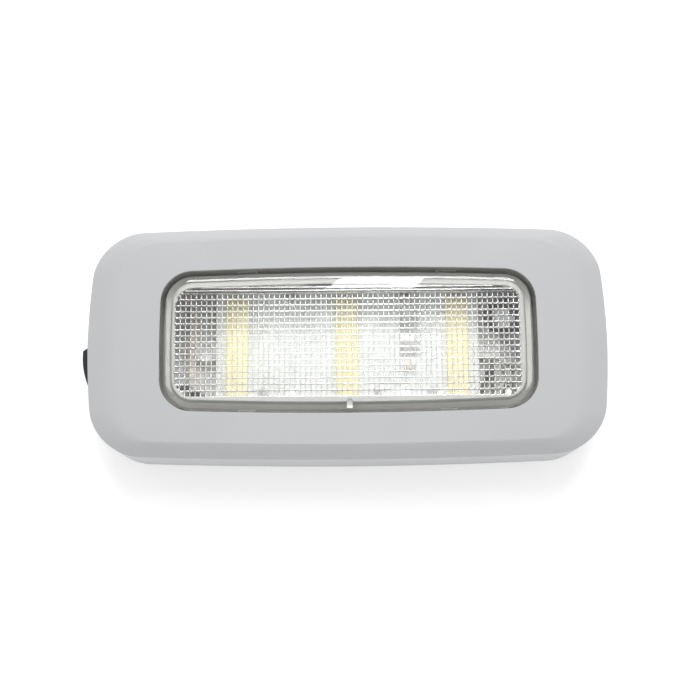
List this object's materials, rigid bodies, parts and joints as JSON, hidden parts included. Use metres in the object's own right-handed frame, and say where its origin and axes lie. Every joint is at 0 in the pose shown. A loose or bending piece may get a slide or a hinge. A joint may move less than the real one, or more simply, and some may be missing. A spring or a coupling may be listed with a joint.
{
  "type": "interior reading light",
  "caption": "Long flat surface-mounted interior light with bowed sides, rounded corners, a clear prismatic lens over light bars and a side rocker switch.",
  "frame": {"origin": "centre of the flat back face, where the light lies on the surface that it is screwed to", "axes": "+Z out of the lens, +X along the length, rocker switch in the end wall at -X"},
  "size_m": [0.1476, 0.066, 0.0242],
  "materials": {
    "white_plastic": "fine satin",
    "clear_plastic": "clear, polished",
    "base_plastic": "satin",
    "grommet_rubber": "matt",
    "white_board": "white solder mask",
    "light_bar": "cream phosphor",
    "chip_black": "matt",
    "capacitor_tan": "matt",
    "screw_steel": "zinc plated",
    "block_plastic": "matt",
    "clamp_brass": "bright",
    "switch_black": "satin",
    "rocker_black": "semi-gloss",
    "plunger_nylon": "natural nylon",
    "contact_copper": "bright",
    "red_insulation": "satin",
    "black_insulation": "satin"
  },
  "bodies": {
    "lamp": {"housing": "white_plastic", "lens": "clear_plastic", "base_plate": "base_plastic", "cable_grommet": "grommet_rubber", "led_board": "white_board", "led_bar_left": "light_bar", "led_bar_middle": "light_bar", "led_bar_right": "light_bar", "resistor_left": "chip_black", "resistor_middle": "chip_black", "resistor_right": "chip_black", "rectifier": "chip_black", "driver_chip": "chip_black", "capacitor": "capacitor_tan", "board_screws": "screw_steel", "terminal_block": "block_plastic", "terminal_cages": "clamp_brass", "terminal_screws": "screw_steel", "switch_body": "switch_black", "terminal_common": "clamp_brass", "terminal_switched": "clamp_brass", "supply_lead": "red_insulation", "switch_lead": "black_insulation", "return_lead": "black_insulation"},
    "rocker": {"rocker": "rocker_black", "plunger_spring": "screw_steel"},
    "plunger": {"plunger": "plunger_nylon"},
    "blade": {"contact_blade": "contact_copper"}
  },
  "joints": [
    {"name": "rocker_hinge", "type": "hinge", "parent": "lamp", "child": "rocker", "pos_m": [-0.0709, -0.0055, 0.0105], "axis": [0, 0, -1], "range_deg": [0, 20]},
    {"name": "blade_hinge", "type": "hinge", "parent": "lamp", "child": "blade", "pos_m": [-0.06465, -0.0055, 0.0105], "axis": [0, 0, 1], "range_deg": [0, 12]},
    {"name": "plunger_slide", "type": "slide", "parent": "rocker", "child": "plunger", "axis": [-0.9848, -0.1736, 0], "range_m": [0, 0.0004], "stiffness_N_per_m": 200, "springref_m": -0.001, "deforming": ["plunger_spring"]}
  ],
  "couplings": [
    {"joint": "blade_hinge", "follows": "rocker_hinge", "ratio": 0.6}
  ]
}
